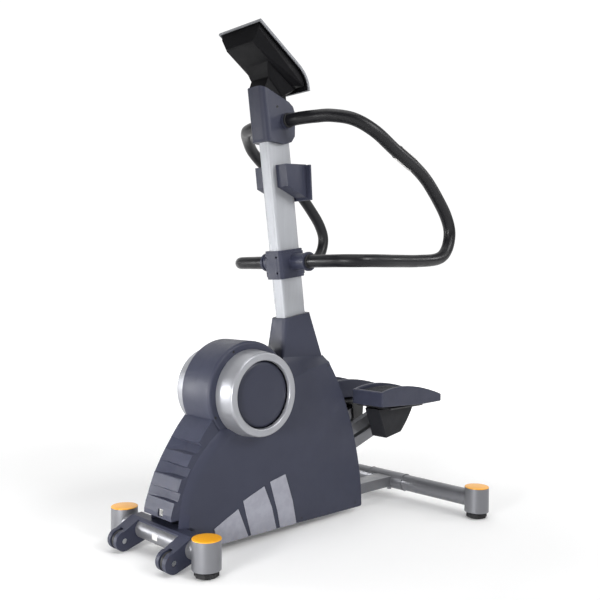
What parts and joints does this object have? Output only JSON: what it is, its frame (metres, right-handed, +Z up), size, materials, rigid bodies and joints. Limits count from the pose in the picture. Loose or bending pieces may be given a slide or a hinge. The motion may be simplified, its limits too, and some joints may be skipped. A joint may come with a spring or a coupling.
{
  "type": "stair climber",
  "caption": "Two-pedal stair stepper with independent sprung pedals, drum-shaped drive housing, leaning column, looped handlebars and a tilted console.",
  "frame": {"origin": "on the floor, in the middle of the footprint", "axes": "+X to the user's left, +Y to the rear where the user stands, +Z up"},
  "size_m": [0.84, 1.127, 1.555],
  "materials": {
    "main_frame": "metallic silver powder coat",
    "front_base": "metallic silver powder coat",
    "rear_base": "metallic silver powder coat",
    "foot_caps": "glossy moulded",
    "pivot_bolts": "zinc plated",
    "front_left_leveller": "moulded",
    "front_right_leveller": "moulded",
    "rear_left_leveller": "moulded",
    "rear_right_leveller": "moulded",
    "transport_bracket": "fine texture",
    "left_transport_wheel": "moulded",
    "right_transport_wheel": "moulded",
    "left_upper_arm": "metallic silver powder coat",
    "right_upper_arm": "metallic silver powder coat",
    "left_lower_arm": "metallic silver powder coat",
    "right_lower_arm": "metallic silver powder coat",
    "left_pedal_bracket": "black powder coat",
    "right_pedal_bracket": "black powder coat",
    "left_bracket_cover": "fine texture",
    "right_bracket_cover": "fine texture",
    "left_pedal": "fine texture",
    "right_pedal": "fine texture",
    "left_tread_mat": "ribbed",
    "right_tread_mat": "ribbed",
    "left_clutch_hub": "turned",
    "right_clutch_hub": "turned",
    "left_pull_strap": "woven",
    "right_pull_strap": "woven",
    "left_return_spring": "drawn wire",
    "right_return_spring": "drawn wire",
    "flywheel": "turned",
    "flywheel_shaft": "ground",
    "generator_stator": "varnished laminations",
    "drive_shaft": "ground",
    "drive_pulley": "glass-filled nylon",
    "drive_belt": "ribbed belt",
    "shaft_bearings": "ground",
    "column": "clear anodised, drawn lengthwise",
    "mast_head": "fine texture",
    "lower_clamp_front": "fine texture",
    "lower_clamp_rear": "fine texture",
    "left_handlebar": "soft foam grip",
    "right_handlebar": "soft foam grip",
    "cup_holder": "fine texture",
    "pulse_sensors": "brushed",
    "console_back": "textured",
    "console_front": "satin",
    "console_trim": "satin grey",
    "display_lens": "polished",
    "start_key": "satin",
    "left_side_cover": "fine texture",
    "right_side_cover": "fine texture",
    "cover_inlays": "satin",
    "louvre_cover": "fine texture",
    "left_drum_shell": "fine texture",
    "right_drum_shell": "fine texture",
    "drum_rings": "satin silver",
    "drum_discs": "fine texture",
    "neck_cover": "fine texture",
    "power_inlet": "moulded"
  },
  "bodies": {
    "machine": {"main_frame": "main_frame", "front_base": "front_base", "rear_base": "rear_base", "foot_caps": "foot_caps", "pivot_bolts": "pivot_bolts", "transport_bracket": "transport_bracket", "left_pull_strap": "left_pull_strap", "right_pull_strap": "right_pull_strap", "left_return_spring": "left_return_spring", "right_return_spring": "right_return_spring", "generator_stator": "generator_stator", "drive_belt": "drive_belt", "shaft_bearings": "shaft_bearings", "column": "column", "mast_head": "mast_head", "lower_clamp_front": "lower_clamp_front", "lower_clamp_rear": "lower_clamp_rear", "left_handlebar": "left_handlebar", "right_handlebar": "right_handlebar", "cup_holder": "cup_holder", "pulse_sensors": "pulse_sensors", "console_back": "console_back", "console_front": "console_front", "console_trim": "console_trim", "display_lens": "display_lens", "left_side_cover": "left_side_cover", "right_side_cover": "right_side_cover", "cover_inlays": "cover_inlays", "louvre_cover": "louvre_cover", "left_drum_shell": "left_drum_shell", "right_drum_shell": "right_drum_shell", "drum_rings": "drum_rings", "drum_discs": "drum_discs", "neck_cover": "neck_cover", "power_inlet": "power_inlet"},
    "front_left_leveller": {"front_left_leveller": "front_left_leveller"},
    "front_right_leveller": {"front_right_leveller": "front_right_leveller"},
    "rear_left_leveller": {"rear_left_leveller": "rear_left_leveller"},
    "rear_right_leveller": {"rear_right_leveller": "rear_right_leveller"},
    "left_wheel": {"left_transport_wheel": "left_transport_wheel"},
    "right_wheel": {"right_transport_wheel": "right_transport_wheel"},
    "flywheel_group": {"flywheel": "flywheel", "flywheel_shaft": "flywheel_shaft"},
    "drive_group": {"drive_shaft": "drive_shaft", "drive_pulley": "drive_pulley"},
    "start_button": {"start_key": "start_key"},
    "left_hub": {"left_clutch_hub": "left_clutch_hub"},
    "left_upper": {"left_upper_arm": "left_upper_arm"},
    "left_lower": {"left_lower_arm": "left_lower_arm"},
    "left_step": {"left_pedal_bracket": "left_pedal_bracket", "left_bracket_cover": "left_bracket_cover", "left_pedal": "left_pedal", "left_tread_mat": "left_tread_mat"},
    "right_hub": {"right_clutch_hub": "right_clutch_hub"},
    "right_upper": {"right_upper_arm": "right_upper_arm"},
    "right_lower": {"right_lower_arm": "right_lower_arm"},
    "right_step": {"right_pedal_bracket": "right_pedal_bracket", "right_bracket_cover": "right_bracket_cover", "right_pedal": "right_pedal", "right_tread_mat": "right_tread_mat"}
  },
  "joints": [
    {"name": "front_left_level", "type": "slide", "parent": "machine", "child": "front_left_leveller", "axis": [0, 0, -1], "range_m": [0, 0.012]},
    {"name": "front_right_level", "type": "slide", "parent": "machine", "child": "front_right_leveller", "axis": [0, 0, -1], "range_m": [0, 0.012]},
    {"name": "rear_left_level", "type": "slide", "parent": "machine", "child": "rear_left_leveller", "axis": [0, 0, -1], "range_m": [0, 0.012]},
    {"name": "rear_right_level", "type": "slide", "parent": "machine", "child": "rear_right_leveller", "axis": [0, 0, -1], "range_m": [0, 0.012]},
    {"name": "left_wheel_spin", "type": "hinge", "parent": "machine", "child": "left_wheel", "pos_m": [0.124, -0.5345, 0.034], "axis": [1, 0, 0], "continuous": true},
    {"name": "right_wheel_spin", "type": "hinge", "parent": "machine", "child": "right_wheel", "pos_m": [-0.124, -0.5345, 0.034], "axis": [1, 0, 0], "continuous": true},
    {"name": "flywheel_spin", "type": "hinge", "parent": "machine", "child": "flywheel_group", "pos_m": [0, -0.2105, 0.4505], "axis": [1, 0, 0], "continuous": true},
    {"name": "drive_spin", "type": "hinge", "parent": "machine", "child": "drive_group", "pos_m": [0, -0.0875, 0.385], "axis": [1, 0, 0], "continuous": true},
    {"name": "left_step_swing", "type": "hinge", "parent": "machine", "child": "left_upper", "pos_m": [0.049, -0.15356, 0.14531], "axis": [-1, 0, 0], "range_deg": [0, 20.5], "stiffness_Nm_per_rad": 60, "springref_deg": -40.11, "deforming": ["left_pull_strap", "left_return_spring"]},
    {"name": "left_lower_swing", "type": "hinge", "parent": "machine", "child": "left_lower", "pos_m": [0.049, -0.15356, 0.09481], "axis": [-1, 0, 0], "range_deg": [0, 20.5]},
    {"name": "left_pedal_level", "type": "hinge", "parent": "left_upper", "child": "left_step", "pos_m": [0.049, 0.3775, 0.323], "axis": [-1, 0, 0], "range_deg": [-20.5, 0]},
    {"name": "left_hub_wind", "type": "hinge", "parent": "machine", "child": "left_hub", "pos_m": [0.049, -0.0875, 0.385], "axis": [-1, 0, 0], "range_deg": [0, 115.8]},
    {"name": "right_step_swing", "type": "hinge", "parent": "machine", "child": "right_upper", "pos_m": [-0.049, -0.15356, 0.14531], "axis": [-1, 0, 0], "range_deg": [0, 20.5], "stiffness_Nm_per_rad": 60, "springref_deg": -40.11, "deforming": ["right_pull_strap", "right_return_spring"]},
    {"name": "right_lower_swing", "type": "hinge", "parent": "machine", "child": "right_lower", "pos_m": [-0.049, -0.15356, 0.09481], "axis": [-1, 0, 0], "range_deg": [0, 20.5]},
    {"name": "right_pedal_level", "type": "hinge", "parent": "right_upper", "child": "right_step", "pos_m": [-0.049, 0.3775, 0.323], "axis": [-1, 0, 0], "range_deg": [-20.5, 0]},
    {"name": "right_hub_wind", "type": "hinge", "parent": "machine", "child": "right_hub", "pos_m": [-0.049, -0.0875, 0.385], "axis": [-1, 0, 0], "range_deg": [0, 115.8]},
    {"name": "start_key_press", "type": "slide", "parent": "machine", "child": "start_button", "axis": [0, -0.549, -0.8358], "range_m": [0, 0.0012], "stiffness_N_per_m": 900, "springref_m": -0.001}
  ],
  "couplings": [
    {"joint": "drive_spin", "follows": "flywheel_spin", "ratio": 0.27778},
    {"joint": "left_lower_swing", "follows": "left_step_swing", "ratio": 1},
    {"joint": "left_pedal_level", "follows": "left_step_swing", "ratio": -1},
    {"joint": "left_hub_wind", "follows": "left_step_swing", "ratio": 5.6},
    {"joint": "right_lower_swing", "follows": "right_step_swing", "ratio": 1},
    {"joint": "right_pedal_level", "follows": "right_step_swing", "ratio": -1},
    {"joint": "right_hub_wind", "follows": "right_step_swing", "ratio": 5.6}
  ]
}
